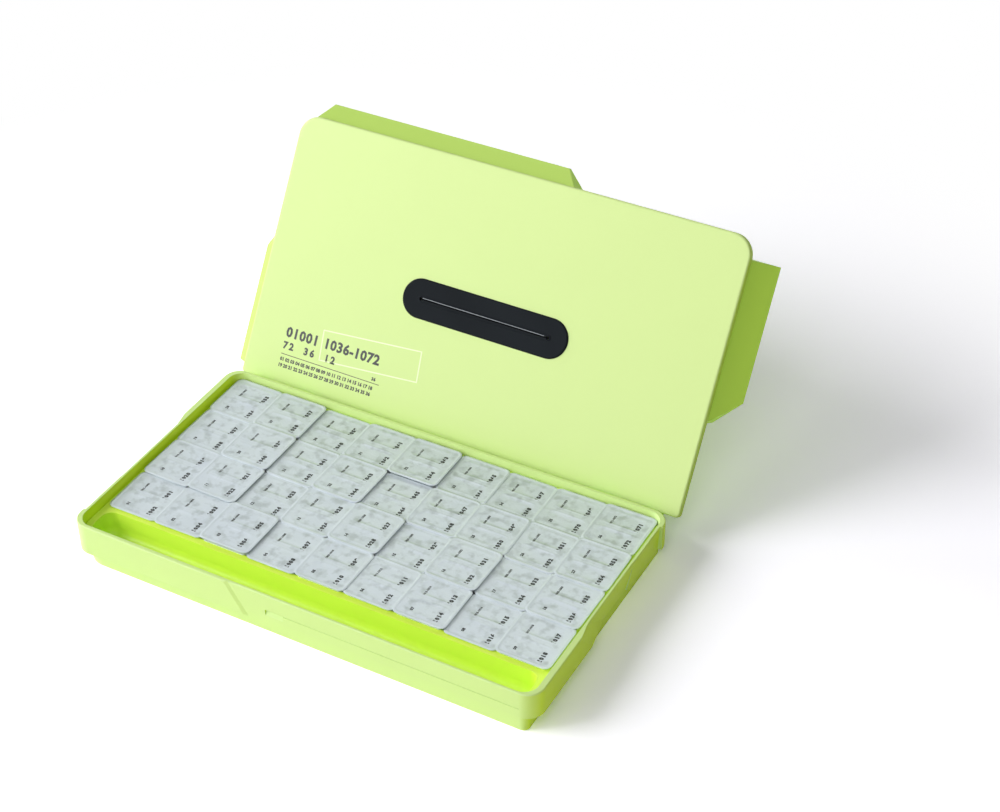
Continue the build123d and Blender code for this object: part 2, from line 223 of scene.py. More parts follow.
def startGroup(name, inputs, outputs):
    group = bpy.data.node_groups.new(name, "ShaderNodeTree")
    for label, value in inputs.items():
        socket = group.interface.new_socket(name=label, in_out="INPUT", socket_type="NodeSocketFloat")
        socket.default_value = value
    for label, kind in outputs.items():
        group.interface.new_socket(name=label, in_out="OUTPUT", socket_type=kind)
    given = group.nodes.new("NodeGroupInput")
    result = group.nodes.new("NodeGroupOutput")
    return group, given, result


def noiseNode(tree, place, detail, scale=None, twist=0.0):
    noise = tree.nodes.new("ShaderNodeTexNoise")
    noise.inputs["Detail"].default_value = detail
    noise.inputs["Distortion"].default_value = twist
    tree.links.new(place, noise.inputs["Vector"])
    if scale is not None:
        noise.inputs["Scale"].default_value = scale
    return noise


def mouldedGrain():
    # fine spark-eroded grain and slow flow marks of moulded plastic or rubber
    group, given, result = startGroup(
        "mouldedGrain",
        {"Grain Scale": surface["grainScale"], "Flow Scale": surface["flowScale"]},
        {"Height": "NodeSocketFloat", "Flow": "NodeSocketFloat", "Speckle": "NodeSocketFloat"},
    )
    place = objectPlace(group)
    grain = noiseNode(group, place, surface["grainDetail"])
    group.links.new(given.outputs["Grain Scale"], grain.inputs["Scale"])
    flow = noiseNode(group, place, surface["flowDetail"], twist=surface["flowTwist"])
    group.links.new(given.outputs["Flow Scale"], flow.inputs["Scale"])
    speckle = noiseNode(group, place, surface["speckleDetail"], surface["speckleScale"])
    group.links.new(grain.outputs[0], result.inputs["Height"])
    group.links.new(flow.outputs[0], result.inputs["Flow"])
    group.links.new(speckle.outputs[0], result.inputs["Speckle"])
    return group


def softEdge():
    # edges that look rounded, and a mask of where they are
    group, given, result = startGroup(
        "softEdge",
        {"Radius": surface["edgeRadius"]},
        {"Normal": "NodeSocketVector", "Edge": "NodeSocketFloat"},
    )
    bevel = group.nodes.new("ShaderNodeBevel")
    bevel.samples = surface["edgeSamples"]
    group.links.new(given.outputs["Radius"], bevel.inputs["Radius"])
    geometry = group.nodes.new("ShaderNodeNewGeometry")
    facing = group.nodes.new("ShaderNodeVectorMath")
    facing.operation = "DOT_PRODUCT"
    group.links.new(bevel.outputs["Normal"], facing.inputs[0])
    group.links.new(geometry.outputs["True Normal"], facing.inputs[1])
    edge = group.nodes.new("ShaderNodeMapRange")
    edge.inputs["From Min"].default_value = surface["edgeStart"]
    edge.inputs["From Max"].default_value = surface["edgeEnd"]
    group.links.new(facing.outputs["Value"], edge.inputs["Value"])
    group.links.new(bevel.outputs["Normal"], result.inputs["Normal"])
    group.links.new(edge.outputs["Result"], result.inputs["Edge"])
    return group


def paintedLightTone():
    # painted light and shade: 1 on faces turned to the front left and up, towards the lamps, 0 on those
    # turned away;
    # it picks between a pale painted lit colour and a deep painted shade colour, fixed to the part
    group, given, result = startGroup(
        "paintedLightTone",
        {"Low": surface["toneLow"], "High": surface["toneHigh"]},
        {"Tone": "NodeSocketFloat"},
    )
    facing = group.nodes.new("ShaderNodeVectorMath")
    facing.operation = "DOT_PRODUCT"
    facing.inputs[1].default_value = surface["paintedLightTowards"]
    group.links.new(group.nodes.new("ShaderNodeTexCoord").outputs["Normal"], facing.inputs[0])
    tone = group.nodes.new("ShaderNodeMapRange")
    group.links.new(facing.outputs["Value"], tone.inputs["Value"])
    group.links.new(given.outputs["Low"], tone.inputs["From Min"])
    group.links.new(given.outputs["High"], tone.inputs["From Max"])
    group.links.new(tone.outputs["Result"], result.inputs["Tone"])
    return group


grainGroup = mouldedGrain()
edgeGroup = softEdge()
paintedLightGroup = paintedLightTone()


def groupNode(tree, group, **values):
    node = tree.nodes.new("ShaderNodeGroup")
    node.node_tree = group
    for label, value in values.items():
        node.inputs[label.replace("_", " ")].default_value = value
    return node


def mixColour(tree, factor, first, second):
    mix = tree.nodes.new("ShaderNodeMix")
    mix.data_type = "RGBA"
    for socket, value in (("A_Color", first), ("B_Color", second)):
        target = next(item for item in mix.inputs if item.identifier == socket)
        if isinstance(value, tuple):
            target.default_value = value
        else:
            tree.links.new(value, target)
    tree.links.new(factor, next(item for item in mix.inputs if item.identifier == "Factor_Float"))
    return next(item for item in mix.outputs if item.identifier == "Result_Color")


def rangeNode(tree, value, low, high):
    # a noise's usual values spread from low to high
    node = tree.nodes.new("ShaderNodeMapRange")
    node.inputs["From Min"].default_value = surface["noiseLow"]
    node.inputs["From Max"].default_value = surface["noiseHigh"]
    node.inputs["To Min"].default_value = low
    node.inputs["To Max"].default_value = high
    tree.links.new(value, node.inputs["Value"])
    return node.outputs["Result"]


def bumpNode(tree, height, strength, distance, normal=None):
    bump = tree.nodes.new("ShaderNodeBump")
    bump.inputs["Strength"].default_value = strength
    bump.inputs["Distance"].default_value = distance
    tree.links.new(height, bump.inputs["Height"])
    if normal is not None:
        tree.links.new(normal, bump.inputs["Normal"])
    return bump.outputs["Normal"]


def startMaterial(name):
    material = bpy.data.materials.new(name)
    material.use_nodes = True
    return material, material.node_tree, material.node_tree.nodes["Principled BSDF"]


def finishShader(tree, shader, colour, rough, normal=None):
    tree.links.new(colour, shader.inputs["Base Color"])
    tree.links.new(rough, shader.inputs["Roughness"])
    if normal is not None:
        tree.links.new(normal, shader.inputs["Normal"])


def scaled(colour, share):
    return tuple(min(1.0, channel * share) for channel in colour[:3]) + (1.0,)


# moulded plastics and rubber: lit is a painted light colour, on faces turned towards the lamps, and
# shade a painted shade colour, on faces turned away;
# flow is what flow marks do to that colour, and edge makes edges paler: a painted edge highlight and a
# little wear
plastics = {
    "caseLime": {
        "lit": (209, 235, 154), "shade": (218, 248, 44), "flow": 0.97, "edge": 1.05,
        "gloss": 0.32, "rough": (0.38, 0.48), "grain": 1500.0, "depth": 0.03 * mm, "radius": 0.4 * mm,
    },
    "lidLime": {
        "lit": (190, 224, 102), "shade": (200, 252, 0), "flow": 0.97, "edge": 1.05,
        "gloss": 0.32, "rough": (0.38, 0.48), "grain": 1500.0, "depth": 0.03 * mm, "radius": 0.4 * mm,
    },
    "trayLime": {
        "lit": (222, 252, 84), "shade": (220, 255, 80), "flow": 0.97, "edge": 1.05,
        "gloss": 0.40, "rough": (0.32, 0.42), "grain": 1900.0, "depth": 0.02 * mm, "radius": 0.4 * mm,
    },
    "panelLime": {
        "lit": (208, 230, 150), "shade": (184, 216, 60), "flow": 0.98, "edge": 1.02,
        "gloss": 0.35, "rough": (0.42, 0.52), "grain": 1300.0, "depth": 0.03 * mm, "radius": 0.8 * mm,
    },
    "gasketRubber": {
        # edge 2.0: a strong painted highlight along the rubber's edges
        "lit": (20, 23, 26), "shade": (14, 16, 18), "flow": 2.2, "edge": 2.0,
        "gloss": 0.03, "rough": (0.40, 0.50), "grain": 900.0, "depth": 0.04 * mm, "radius": 0.8 * mm,
    },
    # near-black: the painted shade in the slit's gap
    "slitPaintedShade": {
        "lit": (7, 8, 9), "shade": (5, 6, 7), "flow": 0.9, "edge": 1.1,
        "gloss": 0.02, "rough": (0.50, 0.60), "grain": 900.0, "depth": 0.02 * mm, "radius": 0.2 * mm,
    },
    # pale grey: the painted highlight on the slit's upper lip
    "slitPaintedHighlight": {
        "lit": (150, 156, 162), "shade": (110, 116, 122), "flow": 0.8, "edge": 1.1,
        "gloss": 0.40, "rough": (0.30, 0.42), "grain": 900.0, "depth": 0.02 * mm, "radius": 0.2 * mm,
    },
    "cupWhite": {
        "lit": (220, 226, 228), "shade": (206, 213, 216), "flow": 0.97, "edge": 1.02,
        "gloss": 0.40, "rough": (0.30, 0.40), "grain": 2200.0, "depth": 0.01 * mm, "radius": 0.4 * mm,
    },
}


def mouldedMaterial(name):
    look = plastics[name]
    material, tree, shader = startMaterial(name)
    grain = groupNode(tree, grainGroup, Grain_Scale=look["grain"])
    edge = groupNode(tree, edgeGroup, Radius=look["radius"])
    tone = groupNode(tree, paintedLightGroup).outputs["Tone"]
    lit, shade = linear(*look["lit"]), linear(*look["shade"])
    # painted light and shade: the lit colour on faces turned towards the lamps, the shade colour on
    # faces turned away
    body = mixColour(tree, tone, shade, lit)
    marks = mixColour(tree, tone, scaled(shade, look["flow"]), scaled(lit, look["flow"]))
    body = mixColour(tree, grain.outputs["Flow"], body, marks)
    # edges take a paler copy of the lit colour: a painted edge highlight and a little wear
    colour = mixColour(tree, edge.outputs["Edge"], body, scaled(lit, look["edge"]))
    rough = rangeNode(tree, grain.outputs["Speckle"], *look["rough"])
    bump, height = surface["grainBump"], grain.outputs["Height"]
    normal = bumpNode(tree, height, bump, look["depth"], edge.outputs["Normal"])
    finishShader(tree, shader, colour, rough, normal)
    shader.inputs["Specular IOR Level"].default_value = look["gloss"]
    return material


# moist paint under the films, one blend for each row of cups
paints = {
    "paintWarm": {"main": (226, 150, 52), "flow": (214, 88, 48)},
    "paintRose": {"main": (205, 84, 96), "flow": (176, 60, 110)},
    "paintBlue": {"main": (70, 130, 186), "flow": (60, 160, 170)},
    "paintGreen": {"main": (92, 140, 86), "flow": (150, 126, 70)},
}

paintSurface = {"grain": 300.0, "flow": 22.0, "rough": (0.25, 0.50), "bump": 0.5, "depth": 0.4 * mm}


def paintMaterial(name):
    look = paints[name]
    material, tree, shader = startMaterial(name)
    grain = groupNode(
        tree, grainGroup, Grain_Scale=paintSurface["grain"], Flow_Scale=paintSurface["flow"]
    )
    colour = mixColour(tree, grain.outputs["Flow"], linear(*look["main"]), linear(*look["flow"]))
    rough = rangeNode(tree, grain.outputs["Speckle"], *paintSurface["rough"])
    normal = bumpNode(tree, grain.outputs["Height"], paintSurface["bump"], paintSurface["depth"])
    finishShader(tree, shader, colour, rough, normal)
    return material


filmLook = {
    "silver": (207, 216, 222), "cool": (197, 206, 219), "green": (200, 211, 208),
    "darkPatch": (172, 182, 184),
    "broadScale": 34.0, "cloudScale": 88.0, "darkPatchScale": 150.0,
    "broadDetail": 2.0, "cloudDetail": 3.0, "darkPatchDetail": 2.0,
    "haze": (0.0, 0.8), "darkPatches": (-0.75, 0.85),
    "rough": (0.32, 0.50), "metallic": 0.30,
    "wrinkleScale": 150.0, "wrinkleDetail": 3.0, "wrinkleTwist": 0.8,
    "wrinkleBump": 0.4, "wrinkleDepth": 0.6 * mm,
}


def filmMaterial():
    # silvered film: cool and greenish patches, haze, and darker grey-green patches where it hangs slack
    look = filmLook
    material, tree, shader = startMaterial("filmSilver")
    place = objectPlace(tree)
    broad = noiseNode(tree, place, look["broadDetail"], look["broadScale"]).outputs[0]
    cloud = noiseNode(tree, place, look["cloudDetail"], look["cloudScale"]).outputs[0]
    spots = noiseNode(tree, place, look["darkPatchDetail"], look["darkPatchScale"]).outputs[0]
    wrinkle = noiseNode(tree, place, look["wrinkleDetail"], look["wrinkleScale"], look["wrinkleTwist"])
    tint = mixColour(tree, broad, linear(*look["cool"]), linear(*look["green"]))
    silver = mixColour(tree, rangeNode(tree, cloud, *look["haze"]), tint, linear(*look["silver"]))
    slack = tree.nodes.new("ShaderNodeAttribute")
    slack.attribute_name = "slack"
    darkPatched = mathNode(tree, "MULTIPLY", slack.outputs["Fac"], rangeNode(tree, spots, *look["darkPatches"]))
    colour = mixColour(tree, darkPatched, silver, linear(*look["darkPatch"]))
    rough = rangeNode(tree, cloud, *look["rough"])
    normal = bumpNode(tree, wrinkle.outputs[0], look["wrinkleBump"], look["wrinkleDepth"])
    finishShader(tree, shader, colour, rough, normal)
    shader.inputs["Metallic"].default_value = look["metallic"]
    return material


inks = {
    "inkDark": (32, 38, 38), "inkPale": (238, 250, 206),
    "wornScale": 900.0, "wornDetail": 3.0, "worn": (0.0, 0.45), "rough": (0.35, 0.55),
    "fadeShare": 0.9, "fadeLift": 0.02,   # a worn spot's colour from the fresh one
}


def inkMaterial(name):
    # thin screen print, slightly worn
    material, tree, shader = startMaterial(name)
    worn = noiseNode(tree, objectPlace(tree), inks["wornDetail"], inks["wornScale"]).outputs[0]
    fresh = linear(*inks[name])
    faded = tuple(channel * inks["fadeShare"] + inks["fadeLift"] for channel in fresh[:3]) + (1.0,)
    colour = mixColour(tree, rangeNode(tree, worn, *inks["worn"]), fresh, faded)
    finishShader(tree, shader, colour, rangeNode(tree, worn, *inks["rough"]))
    return material


steelLook = {
    "bright": (200, 202, 205), "dull": (170, 172, 176),
    "stretch": (60, 4000, 4000),          # lines of the drawn wire run along X
    "detail": 2.0, "rough": (0.22, 0.40), "bump": 0.3, "depth": 0.02 * mm,
}


def steelMaterial():
    look = steelLook
    material, tree, shader = startMaterial("pinSteel")
    mapping = tree.nodes.new("ShaderNodeMapping")
    mapping.inputs["Scale"].default_value = look["stretch"]
    tree.links.new(objectPlace(tree), mapping.inputs["Vector"])
    drawn = noiseNode(tree, mapping.outputs["Vector"], look["detail"], 1.0).outputs[0]
    colour = mixColour(tree, drawn, linear(*look["bright"]), linear(*look["dull"]))
    normal = bumpNode(tree, drawn, look["bump"], look["depth"])
    finishShader(tree, shader, colour, rangeNode(tree, drawn, *look["rough"]), normal)
    shader.inputs["Metallic"].default_value = 1.0
    return material


def dress(name, material):
    # one material over a CAD node
    mesh = nodes[name].data
    if not mesh.materials:
        mesh.materials.append(material)
    for index in range(len(mesh.materials)):
        mesh.materials[index] = material


caseMaterials = {
    "base_shell": "caseLime", "lid_shell": "lidLime", "inner_tray": "trayLime",
    "lid_panel": "panelLime", "slit_grommet": "gasketRubber",
}


def dressCase():
    for name, look in caseMaterials.items():
        dress(name, mouldedMaterial(look))
    cupWhite, steel = mouldedMaterial("cupWhite"), steelMaterial()
    for name in nodes:
        if name.startswith("twin_cup"):
            dress(name, cupWhite)
        if name.startswith("hinge_pin"):
            dress(name, steel)
    for row, name in enumerate(paints, start=1):
        dress(f"paint_fills_row_{row}", paintMaterial(name))


# peel films: one pressed shape laid on every twin cup, each at its own level and turn
films = {
    "columns": 9, "rows": 4, "pitchX": 37.0 * mm, "pitchY": 39.0 * mm,
    "sizeX": 38.9 * mm, "sizeY": 40.9 * mm, "corner": 4.6 * mm, "thickness": 0.34 * mm,
    "edgeDrop": 0.12 * mm, "edgeRound": 0.5 * mm,
    "bead": 0.19 * mm, "beadInset": 1.3 * mm, "beadWidth": 0.6 * mm,
    "dish": 0.12 * mm, "dishStart": 1.5 * mm, "dishEnd": 2.8 * mm,
    "wellDrop": 0.30 * mm, "wellX": 12.6 * mm, "wellY": 6.2 * mm, "wellCorner": 2.8 * mm,
    "wellShift": 8.8 * mm, "wellSlope": 1.0 * mm,
    "wellBead": 0.26 * mm, "wellBeadOut": 0.3 * mm, "wellBeadWidth": 0.42 * mm,
    "borderLines": (0, 0.25, 0.5, 0.8, 1.15, 1.5, 1.9, 2.4, 3.0, 3.7, 4.5),    # mm from the edge
    "middleLines": (0.7, 1.4, 2.2),       # mm from the middle, where the two wells meet
    "lineStep": 1.5 * mm, "sharpDegrees": 50,
    "slackFrom": 1.0 * mm, "slackTo": 4.0 * mm,
    "lift": 0.05 * mm, "levels": 5, "levelStep": 0.55 * mm,
    "leanDegrees": 0.2, "turnDegrees": 0.8, "slide": 0.25 * mm,
    "crumple": 0.42 * mm, "crumpleScale": 95.0, "crumpleDetail": 2.0, "seed": 11,
}


def insideDepth(x, y, halfX, halfY, corner):
    # how far inside a rounded rectangle a point lies
    dx = np.abs(x) - (halfX - corner)
    dy = np.abs(y) - (halfY - corner)
    outside = np.hypot(np.maximum(dx, 0), np.maximum(dy, 0))
    return corner - outside - np.minimum(np.maximum(dx, dy), 0)


def smoothStep(value, low, high):
    share = np.clip((value - low) / (high - low), 0, 1)
    return share * share * (3 - 2 * share)


def ridge(distance, width):
    # a smooth bead, 1 along its middle
    return np.exp(-(distance / width) ** 2)


def filmDepth(x, y):
    return insideDepth(x, y, films["sizeX"] / 2, films["sizeY"] / 2, films["corner"])


def filmHeight(x, y):
    # pressed relief of one film over its twin cup
    depth = filmDepth(x, y)
    edge = -films["edgeDrop"] * (1 - smoothStep(depth, 0, films["edgeRound"]))
    bead = films["bead"] * ridge(depth - films["beadInset"], films["beadWidth"])
    height = edge + bead - films["dish"] * smoothStep(depth, films["dishStart"], films["dishEnd"])
    for side in (-1, 1):
        wellPlace = y - side * films["wellShift"]
        well = insideDepth(x, wellPlace, films["wellX"], films["wellY"], films["wellCorner"])
        height = height - films["wellDrop"] * smoothStep(well, 0, films["wellSlope"])
        height = height + films["wellBead"] * ridge(well + films["wellBeadOut"], films["wellBeadWidth"])
    return height


def filmLines(half, corner, middle):
    # grid lines across a film: close together along its border and where the wells meet
    inner = half - corner
    lines = [half - step * mm for step in films["borderLines"]] + [inner]
    count = max(2, round(inner / films["lineStep"]))
    lines += [inner * index / count for index in range(1, count)]
    if middle:
        lines += [step * mm for step in films["middleLines"]]
    lines = sorted(set(round(value, 6) for value in lines if value > 0))
    return [-value for value in reversed(lines)] + [0.0] + lines


def roundedGrid(xLines, yLines):
    # a grid whose corners are bent onto the rounded outline
    x, y = np.meshgrid(xLines, yLines)
    corner = films["corner"]
    startX, startY = films["sizeX"] / 2 - corner, films["sizeY"] / 2 - corner
    tiny, nearlyZero = 1e-6, 1e-9
    s = (np.abs(x) - startX) / corner
    t = (np.abs(y) - startY) / corner
    inCorner = (s > tiny) & (t > tiny)
    reach = np.maximum(s, t)
    share = np.where(s >= t, t / np.maximum(s, nearlyZero), 2 - s / np.maximum(t, nearlyZero))
    angle = share * math.pi / 4
    bentX = np.sign(x) * (startX + corner * reach * np.cos(angle))
    bentY = np.sign(y) * (startY + corner * reach * np.sin(angle))
    return np.where(inCorner, bentX, x), np.where(inCorner, bentY, y)


def filmMesh():
    xLines = filmLines(films["sizeX"] / 2, films["corner"], False)
    yLines = filmLines(films["sizeY"] / 2, films["corner"], True)
    x, y = roundedGrid(xLines, yLines)
    top = filmHeight(x, y) + films["thickness"]
    under = np.minimum(top, films["thickness"]) - films["thickness"]
    wide, deep = len(xLines), len(yLines)
    count = wide * deep
    verts = np.concatenate([
        np.stack([x.ravel(), y.ravel(), top.ravel()], axis=1),
        np.stack([x.ravel(), y.ravel(), under.ravel()], axis=1),
    ])
    faces = []
    for row in range(deep - 1):
        for column in range(wide - 1):
            a = row * wide + column
            b, c, d = a + 1, a + wide + 1, a + wide
            faces.append((a, b, c, d))
            faces.append((a + count, d + count, c + count, b + count))
    rim = list(range(wide))
    rim += [row * wide + wide - 1 for row in range(1, deep)]
    rim += [(deep - 1) * wide + column for column in range(wide - 2, -1, -1)]
    rim += [row * wide for row in range(deep - 2, 0, -1)]
    for index, vertex in enumerate(rim):
        following = rim[(index + 1) % len(rim)]
        faces.append((vertex, vertex + count, following + count, following))
    mesh = bpy.data.meshes.new("filmShape")
    mesh.from_pydata(verts.tolist(), [], faces)
    slack = smoothStep(filmDepth(x, y), films["slackFrom"], films["slackTo"]).ravel()
    attribute = mesh.attributes.new("slack", "FLOAT", "POINT")
    attribute.data.foreach_set("value", np.concatenate([slack, slack * 0]).astype(np.float32))
    mesh.polygons.foreach_set("use_smooth", [True] * len(mesh.polygons))
    mesh.set_sharp_from_angle(angle=math.radians(films["sharpDegrees"]))
    return mesh


def filmLevels(draw):
    # each film lies over or under its neighbours, never level with one of them
    levels = {}
    for row in range(films["rows"]):
        for column in range(films["columns"]):
            around = [(row, column - 1)] + [(row - 1, column + step) for step in (-1, 0, 1)]
            taken = [levels[spot] for spot in around if spot in levels]
            free = [level for level in range(films["levels"]) if level not in taken]
            levels[(row, column)] = free[draw.integers(len(free))]
    return levels


def filmPlaces():
    # where each film lies: level, lean and turn differ a little from cup to cup
    draw = np.random.default_rng(films["seed"])
    levels = filmLevels(draw)
    low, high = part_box("peel_films_row_1")
    middle, base = (low.y + high.y) / 2, low.z + films["lift"]
    places = []
    for row in range(films["rows"]):
        for column in range(films["columns"]):
            lean = draw.uniform(-1, 1, 2) * math.radians(films["leanDegrees"])
            turn = draw.uniform(-1, 1) * math.radians(films["turnDegrees"])
            slide = draw.uniform(-1, 1, 2) * films["slide"]
            places.append({
                "row": row,
                "place": (
                    (column - (films["columns"] - 1) / 2) * films["pitchX"] + slide[0],
                    middle + row * films["pitchY"] + slide[1],
                    base + levels[(row, column)] * films["levelStep"],
                ),
                "turn": (lean[0], lean[1], turn),
            })
    return places


def filmPoints(places):
    # a cloud of points that carries each film's row and turn
    mesh = bpy.data.meshes.new("filmPoints")
    mesh.from_pydata([place["place"] for place in places], [], [])
    rows = mesh.attributes.new("row", "INT", "POINT")
    rows.data.foreach_set("value", [place["row"] for place in places])
    turns = mesh.attributes.new("turn", "FLOAT_VECTOR", "POINT")
    turns.data.foreach_set("vector", [value for place in places for value in place["turn"]])
    return mesh


def namedAttribute(tree, name, kind):
    node = tree.nodes.new("GeometryNodeInputNamedAttribute")
    node.data_type = kind
    node.inputs["Name"].default_value = name
    return next(socket for socket in node.outputs if socket.enabled and socket.name == "Attribute")


def filmRowTree():
    # lays one film on each point of a row, then crumples each one differently
    tree = bpy.data.node_groups.new("filmRow", "GeometryNodeTree")
    for label, kind in (
        ("Geometry", "NodeSocketGeometry"), ("Film", "NodeSocketObject"),
        ("Row", "NodeSocketInt"), ("Material", "NodeSocketMaterial"),
        ("Crumple", "NodeSocketFloat"), ("Crumple Scale", "NodeSocketFloat"),
    ):
        tree.interface.new_socket(name=label, in_out="INPUT", socket_type=kind)
    tree.interface.new_socket(name="Geometry", in_out="OUTPUT", socket_type="NodeSocketGeometry")
    given = tree.nodes.new("NodeGroupInput")
    result = tree.nodes.new("NodeGroupOutput")
    link = tree.links.new

    compare = tree.nodes.new("FunctionNodeCompare")
    compare.data_type = "INT"
    compare.operation = "EQUAL"
    link(namedAttribute(tree, "row", "INT"), compare.inputs[2])
    link(given.outputs["Row"], compare.inputs[3])
    info = tree.nodes.new("GeometryNodeObjectInfo")
    link(given.outputs["Film"], info.inputs["Object"])
    lay = tree.nodes.new("GeometryNodeInstanceOnPoints")
    link(given.outputs["Geometry"], lay.inputs["Points"])
    link(compare.outputs["Result"], lay.inputs["Selection"])
    link(info.outputs["Geometry"], lay.inputs["Instance"])
    link(namedAttribute(tree, "turn", "FLOAT_VECTOR"), lay.inputs["Rotation"])
    real = tree.nodes.new("GeometryNodeRealizeInstances")
    link(lay.outputs["Instances"], real.inputs["Geometry"])

    noise = tree.nodes.new("ShaderNodeTexNoise")
    noise.inputs["Detail"].default_value = films["crumpleDetail"]
    link(given.outputs["Crumple Scale"], noise.inputs["Scale"])
    centred = mathNode(tree, "SUBTRACT", noise.outputs[0], 0.5)
    amount = mathNode(tree, "MULTIPLY", centred, given.outputs["Crumple"])
    masked = mathNode(tree, "MULTIPLY", amount, namedAttribute(tree, "slack", "FLOAT"))
    offset = tree.nodes.new("ShaderNodeCombineXYZ")
    link(masked, offset.inputs["Z"])
    move = tree.nodes.new("GeometryNodeSetPosition")
    link(real.outputs["Geometry"], move.inputs["Geometry"])
    link(offset.outputs["Vector"], move.inputs["Offset"])

    paint = tree.nodes.new("GeometryNodeSetMaterial")
    link(move.outputs["Geometry"], paint.inputs["Geometry"])
    link(given.outputs["Material"], paint.inputs["Material"])
    link(paint.outputs["Geometry"], result.inputs["Geometry"])
    return tree


def inputId(tree, name):
    return next(
        item.identifier for item in tree.interface.items_tree
        if item.item_type == "SOCKET" and item.in_out == "INPUT" and item.name == name
    )


def grown(holder, tree, values):
    # the plain mesh that a node tree makes of an object
    modifier = holder.modifiers.new(tree.name, "NODES")
    modifier.node_group = tree
    for name, value in values.items():
        modifier[inputId(tree, name)] = value
    mesh = plainMesh(holder)
    holder.modifiers.remove(modifier)
    return mesh


def addFilms(places, material):
    shape = newObject("filmShape", filmMesh())
    tree = filmRowTree()
    pieces = []
    for row in range(films["rows"]):
        holder = newObject("filmHolder", filmPoints(places))
        mesh = grown(holder, tree, {
            "Film": shape, "Row": row, "Crumple": films["crumple"],
            "Crumple Scale": films["crumpleScale"], "Material": material,
        })
        bpy.data.objects.remove(holder)
        piece = newObject(f"peelFilms{row + 1}", mesh)
        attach(piece, "base")
        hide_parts(f"peel_films_row_{row + 1}")
        pieces.append(piece)
    bpy.data.objects.remove(shape)
    return pieces


# plain numbers printed on the films: one on each well, one for the pair, one for the cup
filmPrint = {
    "thickness": 0.03 * mm,
    "backWell": {"x": 10.9 * mm, "y": 6.6 * mm, "cap": 2.7 * mm, "spacing": 1.3, "bold": 0.30 * mm},
    "frontWell": {"x": 10.9 * mm, "y": -11.8 * mm, "cap": 2.7 * mm, "spacing": 1.3, "bold": 0.30 * mm},
    "pair": {"x": -7.7 * mm, "y": 6.4 * mm, "cap": 1.4 * mm, "spacing": 1.1, "bold": 0.13 * mm},
    "cup": {"x": -7.9 * mm, "y": -12.2 * mm, "cap": 2.0 * mm, "spacing": 1.1, "bold": 0.18 * mm},
    "firstWell": 1001,
    "dropFrom": 100 * mm,                 # above everything that is printed on
}

typeface = {
    "capShare": 0.70,                     # a capital's height over the type's size
    "curveSteps": 2,
}


def textMesh(words, style, thickness):
    curve = bpy.data.curves.new("words", "FONT")
    curve.body = words
    curve.size = style["cap"] / typeface["capShare"]
    curve.space_character = style["spacing"]
    curve.offset = style["bold"]
    curve.extrude = thickness / 2
    curve.resolution_u = typeface["curveSteps"]
    curve.align_x = "CENTER"
    curve.align_y = "CENTER"
    holder = newObject("words", curve)
    mesh = plainMesh(holder)
    bpy.data.objects.remove(holder)
    return mesh


def joined(name, meshes, material):
    # several meshes as one, each with its own placing matrix
    verts, faces = [], []
    for mesh, placing in meshes:
        start = len(verts)
        verts += [placing @ vertex.co for vertex in mesh.vertices]
        faces += [[start + index for index in face.vertices] for face in mesh.polygons]
    result = bpy.data.meshes.new(name)
    result.from_pydata(verts, [], faces)
    result.materials.append(material)
    return newObject(name, result)


def laidOn(piece, ground):
    # drops every point of a print onto the surface under it, keeping its thickness
    tree = BVHTree.FromPolygons(
        [vertex.co[:] for vertex in ground.data.vertices],
        [face.vertices[:] for face in ground.data.polygons],
    )
    for vertex in piece.data.vertices:
        above = Vector((vertex.co.x, vertex.co.y, filmPrint["dropFrom"]))
        spot = tree.ray_cast(above, Vector((0, 0, -1)))[0]
        if spot is not None:
            vertex.co.z += spot.z
    piece.data.update()


def filmMarks(index):
    # what is printed on one film, and where
    first = filmPrint["firstWell"] + 2 * index
    return [
        (f"{first}", filmPrint["backWell"]),
        (f"{first + 1}", filmPrint["frontWell"]),
        (f"{first}-{first + 1}", filmPrint["pair"]),
        (f"{index + 1:02d}", filmPrint["cup"]),
    ]


def addFilmPrint(places, filmPieces, ink):
    quarter = Matrix.Rotation(math.radians(90), 4, "Z")
    thick = filmPrint["thickness"]
    for row in range(films["rows"]):
        meshes = []
        for index, place in enumerate(places):
            if place["row"] != row:
                continue
            spot = Matrix.Translation((place["place"][0], place["place"][1], thick))
            spot = spot @ Matrix.Rotation(place["turn"][2], 4, "Z")
            for words, style in filmMarks(index):
                mesh = textMesh(words, style, thick)
                meshes.append((mesh, spot @ Matrix.Translation((style["x"], style["y"], 0)) @ quarter))
        piece = joined(f"filmNumbers{row + 1}", meshes, ink)
        laidOn(piece, filmPieces[row])
        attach(piece, "base")


